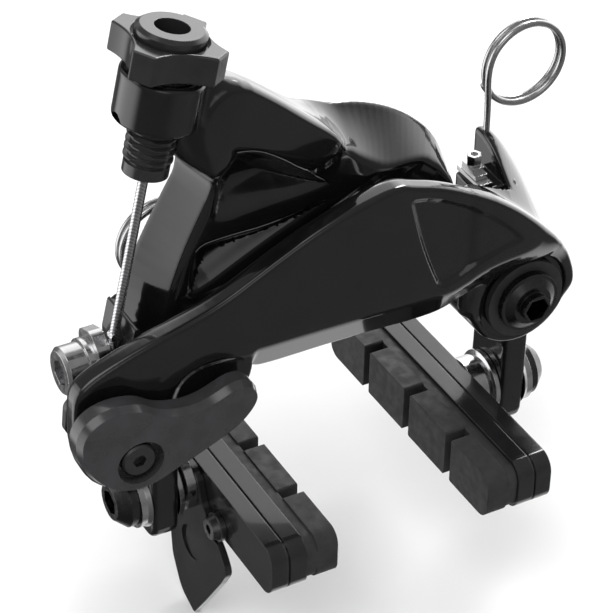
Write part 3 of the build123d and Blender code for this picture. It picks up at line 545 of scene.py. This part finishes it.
def cut_mounts(shape, out, fwd, z):
    """Cut the pivot bore, its flange recess at the back and the pad slot."""
    shape = cut(shape, disc(out, z, PIVOT, BORE_RADIUS), 0.3)
    shape = cut(shape, meet(disc(out, z, PIVOT, FLANGE_RADIUS), fwd - 1.35, 0.1), 0.2)
    beyond = np.maximum(np.abs(z - PAD_Z) - PAD_SLOT_HALF, 0)
    slot = np.sqrt((fwd - PAD_FWD) ** 2 + beyond ** 2) - PAD_SLOT_RADIUS
    shape = cut(shape, meet(slot, 29.5 - out, 0.1), 0.5)
    # the inner side of the leg is trimmed flat
    inner = np.maximum(between(z, -40.0, -15.5), out - (LEG_OUT - LEG_HALF))
    return cut(shape, inner, 0.4)


# ------------------------------------------------------------------ anchor arm
PLATE_FRONT = 21.0
RING = (-45.7, -0.6)  # (x, z) of the ring at the left end of the plate

# Outlines in (x, z): front face of the plate inside its bevel
PLATE_FACE = Outline([
    (-54.0, 8.6), (-53.2, 11.0), (-51.0, 12.7), (-48.4, 13.9), (-45.3, 15.1), (-40.0, 16.8),
    (-34.8, 18.1), (-28.4, 20.2), (-22.9, 23.0), (-17.4, 25.8), (-12.0, 28.3), (-6.0, 30.4),
    (-1.5, 31.6), (1.6, 32.3), (3.6, 32.3), (5.4, 31.5), (10.5, 29.8), (16.2, 26.9),
    (22.1, 22.9), (26.2, 19.4), (30.4, 14.6), (29.4, 13.4), (22.8, 12.8), (18.6, 11.3),
    (15.9, 9.8), (13.2, 9.0), (10.4, 9.2), (7.0, 9.2), (1.2, 9.5), (-11.6, 9.8), (-24.0, 9.9),
    (-27.5, 10.2), (-34.5, 10.0), (-38.0, 6.0), (-38.0, -3.0), (-42.0, -9.0), (-49.6, -8.8),
    (-54.0, -2.2)])
# full plate
PLATE_BODY = Outline([
    (-54.4, 8.6), (-53.6, 11.4), (-51.3, 13.2), (-48.6, 14.4), (-45.4, 15.6), (-40.0, 17.3),
    (-34.8, 18.6), (-28.4, 20.7), (-22.9, 23.5), (-17.4, 26.3), (-12.0, 28.8), (-6.0, 30.9),
    (-1.5, 32.1), (1.8, 32.8), (4.2, 32.6), (6.2, 31.8), (11.1, 30.2), (16.9, 27.4),
    (23.0, 23.3), (27.2, 20.0), (32.0, 15.0), (34.5, 9.6), (29.5, 9.2), (24.8, 8.9),
    (20.3, 7.0), (17.0, 5.0), (12.7, 3.0), (9.0, 2.4), (0.0, 3.0), (-8.0, 3.0), (-17.5, 2.6),
    (-22.0, 3.4), (-24.0, 8.4), (-27.5, 9.9), (-34.5, 9.7), (-37.8, 5.4), (-37.8, -3.0),
    (-42.0, -9.4), (-49.8, -9.2), (-54.4, -2.2)])
# sunk panel on the right of the plate
SUNK_PANEL = Outline([
    (4.2, 30.4), (9.6, 29.3), (16.2, 25.9), (21.6, 22.1), (25.4, 18.6), (28.4, 15.0),
    (22.9, 14.0), (18.2, 12.5), (14.6, 10.5), (10.8, 10.2), (8.8, 14.8), (6.8, 20.4),
    (5.4, 25.6)], rounds=1)
# thin web beside the ring
WEB = Outline([
    (-40.0, 12.0), (-23.5, 12.0), (-22.5, 5.0), (-26.0, 1.0), (-31.0, -1.8), (-37.0, -4.0),
    (-40.0, -4.0)])
# back and front ends of the shoulder
SHOULDER_BACK = Outline([
    (8, -4), (8, 25.2), (31.0, 25.2), (33.6, 23.4), (37.0, 18.2), (39.6, 12.4), (41.6, 6.0),
    (42.6, 0), (40.0, -7), (30, -8)])
SHOULDER_FRONT = Outline([
    (8, -4), (8, 25.6), (19.0, 25.6), (25.5, 21.0), (30.2, 17.0), (35.6, 12.4), (39.6, 6.6),
    (42.0, 0), (39.8, -6.6), (30, -8)])


def anchor_plate(x, fwd, z):
    """The long front plate, bevelled around its face, with the sunk panel."""
    face, body = PLATE_FACE(x, z), PLATE_BODY(x, z)
    front = PLATE_FRONT - 0.75 * ease(0.1, 1.5, -SUNK_PANEL(x, z))
    front = front - 0.25 * ease(3.0, 12.0, x - 0.35 * (30 - z))
    plate = meet(body, (face + 1.75 * (fwd - PLATE_FRONT)) * 0.5, 0.7)
    plate = meet(plate, (fwd - front) * 0.93, 0.55)
    plate = meet(plate, (body + 0.9 * (17.5 - fwd)) * 0.74, 0.8)
    back = 12.0 + 3.7 * ease(-32.0, -35.5, x)
    return meet(plate, back - fwd, 0.8)


def anchor_shoulder(x, fwd, z):
    """The shoulder that sweeps from the rear tip down to the front plate."""
    sweep = ease(0.5, 16.5, fwd)
    shape = SHOULDER_BACK(x, z) * (1 - sweep) + SHOULDER_FRONT(x, z) * sweep
    inner = 30.3 - 11.5 * ease(10.9, 15.0, fwd)
    shape = meet(shape, inner - x, 1.0)
    front = 16.3 + 3.4 * ease(3.0, 13.0, z)
    shape = meet(shape, fwd - front, 1.4)
    back = 1.2 - 2.0 * ease(11.0, 15.0, z)
    shape = meet(shape, back - fwd, 0.9)
    return meet(shape, -2.0 - z, 3.0)


def anchor_arm(x, fwd, z):
    boss = meet(disc(x, z, PIVOT, 9.8), between(fwd, 1.25, 16.1), 0.9)
    lower = join(boss, pad_leg(x, fwd, z), 3.2)
    arm = join(anchor_shoulder(x, fwd, z), lower, 2.2)
    arm = join(arm, anchor_plate(x, fwd, z), 2.6)
    arm = join(arm, meet(WEB(x, z), between(fwd, 17.9, 20.4), 0.7), 1.2)
    # square seat above the pivot
    seat = meet(np.abs(x - 29.0) - 3.9, between(z, 8.6, 18.8), 0.5)
    arm = np.minimum(arm, meet(seat, between(fwd, 2.3, 9.7), 0.5))
    arm = join(arm, meet(disc(x, z, RING, 7.2), between(fwd, 18.0, 22.0), 0.4), 0.5)
    # round clearing in front of the boss
    arm = cut(arm, meet(disc(x, z, PIVOT, FLANGE_RADIUS), 16.0 - fwd, 0.3), 0.45)
    arm = cut_mounts(arm, x, fwd, z)
    arm = cut(arm, disc(x, z, RING, 2.58), 0.3)
    # narrow tilted slot in the back of the plate
    along, across = tilted(x, z, -40.1, 11.4)
    slot = np.maximum(between(along, -6.7, 2.1), np.abs(across) - 1.05)
    return cut(arm, np.maximum(slot, between(fwd, 10.0, 17.3)), 0.2)


# ------------------------------------------------------------------ adjuster arm
ADJUSTER = (-37.0, 11.5, 42.3)  # (x, fwd, z) of a point on the adjuster axis

# Outlines in (x, z): back and front ends of the arm
ARM_BACK = Outline([
    (-38.6, 1), (-38.2, 10.0), (-36.2, 19.0), (-31.6, 28.0), (-26.0, 37.6), (-24.2, 45),
    (-19.5, 48.0), (-14.0, 44.4), (-8.0, 41.2), (-1.5, 39.6), (5.2, 38.2), (11.0, 35.8),
    (15.8, 32.6), (20.6, 27.8), (23.6, 20.6), (23.2, 17.0), (11.0, 9.6), (-9.0, 5.0),
    (-20.0, -1.5), (-26, -8.2), (-36.5, -7.8)])
ARM_FRONT = Outline([
    (-34.6, 2), (-33.9, 11.0), (-31.4, 18.4), (-29.8, 23.4), (-27.0, 29.4), (-24.8, 34.0),
    (-24.4, 40.0), (-27.5, 48), (-22.4, 53.0), (-16.0, 48.6), (-10.0, 43.4), (-5.5, 39.6),
    (-1.0, 35.6), (3.0, 31.6), (7.6, 28.2), (14.5, 24.4), (20.6, 21.2), (20.4, 18.0),
    (9.0, 11.0), (-10.0, 6.5), (-21.0, -0.5), (-26, -7.2), (-36.0, -6.8)])
# upper and lower scoops in the front face
SCOOP_UPPER = Outline([
    (-24.4, 43.6), (-21.5, 44.4), (-17.7, 42.2), (-13.6, 38.8), (-7.9, 33.5), (-2.2, 29.4),
    (-8.0, 28.4), (-15.8, 28.4), (-25.6, 27.6), (-25.6, 33.0), (-24.0, 38.0)])
SCOOP_LOWER = Outline([
    (-28.6, 25.4), (-22.0, 25.8), (-14.4, 25.6), (-3.5, 27.6), (-1.6, 27.0), (-9.0, 23.6),
    (-16.9, 20.2), (-29.6, 13.8), (-30.2, 19.0)])
# small four-sided pocket, open to the front
POCKET = Outline([(-4.5, 11.0), (7.2, 10.5), (7.2, 16.9), (-4.5, 17.0)], rounds=1)
# neck between the arm and the adjuster boss
NECK = Outline([
    (-33.5, 44.5), (-35.0, 56.5), (-30.0, 58.6), (-22.4, 54.0), (-15.5, 48.0), (-9.5, 42.8),
    (-4.0, 37.6), (-7.5, 35.8), (-13.0, 39.6), (-18.5, 42.2), (-23.5, 41.0), (-27.0, 38.5)])


def adjuster_blade(x, fwd, z):
    """The broad upper part, narrowing to the front, with its scooped face."""
    sweep = np.clip((fwd - 2.0) / 8.5, 0, 1)
    blade = ARM_BACK(x, z) * (1 - sweep) + ARM_FRONT(x, z) * sweep
    front = 10.5 - 4.4 * ease(0.0, 5.4, -SCOOP_UPPER(x, z))
    front = front - 3.0 * ease(0.0, 4.6, -SCOOP_LOWER(x, z))
    # the face falls away below a slanting line, fading out at the right
    slant = (z - 27.3) * 0.905 - (x + 1.0) * 0.425
    front = front - 3.4 * ease(0.0, 9.0, -slant) * ease(24, 18, x)
    front = front + 1.0 * ease(34, 44, z)
    blade = meet(blade, (fwd - front) * 0.78, 1.0)
    return meet(blade, 1.4 - fwd, 1.3)


def adjuster_arm(x, fwd, z):
    out = -x
    neck_front = 12.2 - 1.9 * ease(-24.0, -7.0, x)
    neck = meet(NECK(x, z), np.maximum(4.4 - fwd, fwd - neck_front), 2.2)
    arm = join(adjuster_blade(x, fwd, z), neck, 6.0)
    along, across = tilted(x, z, ADJUSTER[0], ADJUSTER[2])
    radius = np.sqrt(across ** 2 + (fwd - ADJUSTER[1]) ** 2)
    arm = join(arm, meet(radius - 6.75, between(along, 8.9, 17.0), 0.7), 1.6)
    # pivot boss with a wider foot
    boss = meet(disc(out, z, PIVOT, 7.4), between(fwd, 1.4, 12.2), 0.4)
    foot = meet(disc(out, z, PIVOT, 8.7), between(fwd, 1.4, 5.4), 0.6)
    arm = join(arm, join(boss, foot, 0.6), 0.8)
    web = meet(np.abs(out - 31.5) - 5.0, between(z, -12.0, 0.0), 3.0)
    web = meet(web, between(fwd, 2.0, 10.2), 1.5)
    arm = join(arm, join(pad_leg(out, fwd, z), web, 2.5), 2.0)
    arm = cut_mounts(arm, out, fwd, z)
    arm = cut(arm, meet(POCKET(x, z), 3.9 - fwd, 0.3), 0.4)
    # adjuster bore and the wider bore above it
    arm = cut(arm, meet(radius - 4.25, along - 14.4, 0.1), 0.25)
    arm = cut(arm, meet(radius - 5.35, 13.5 - along, 0.1), 0.25)
    # room for the cable anchor's carrier, which swings past this edge
    room = np.maximum(x + 37.6, between(z, -4.0, 20.5))
    return cut(arm, np.maximum(room, 4.6 - fwd), 0.4)


sculpt("anchor_arm", anchor_arm, low=(-57.5, -3.0, -35.0), high=(45.5, 24.5, 35.5),
       body="arm_right")
sculpt("adjuster_arm", adjuster_arm, low=(-41.5, -1.5, -35.0), high=(26.5, 20.5, 62.5),
       body="arm_left")
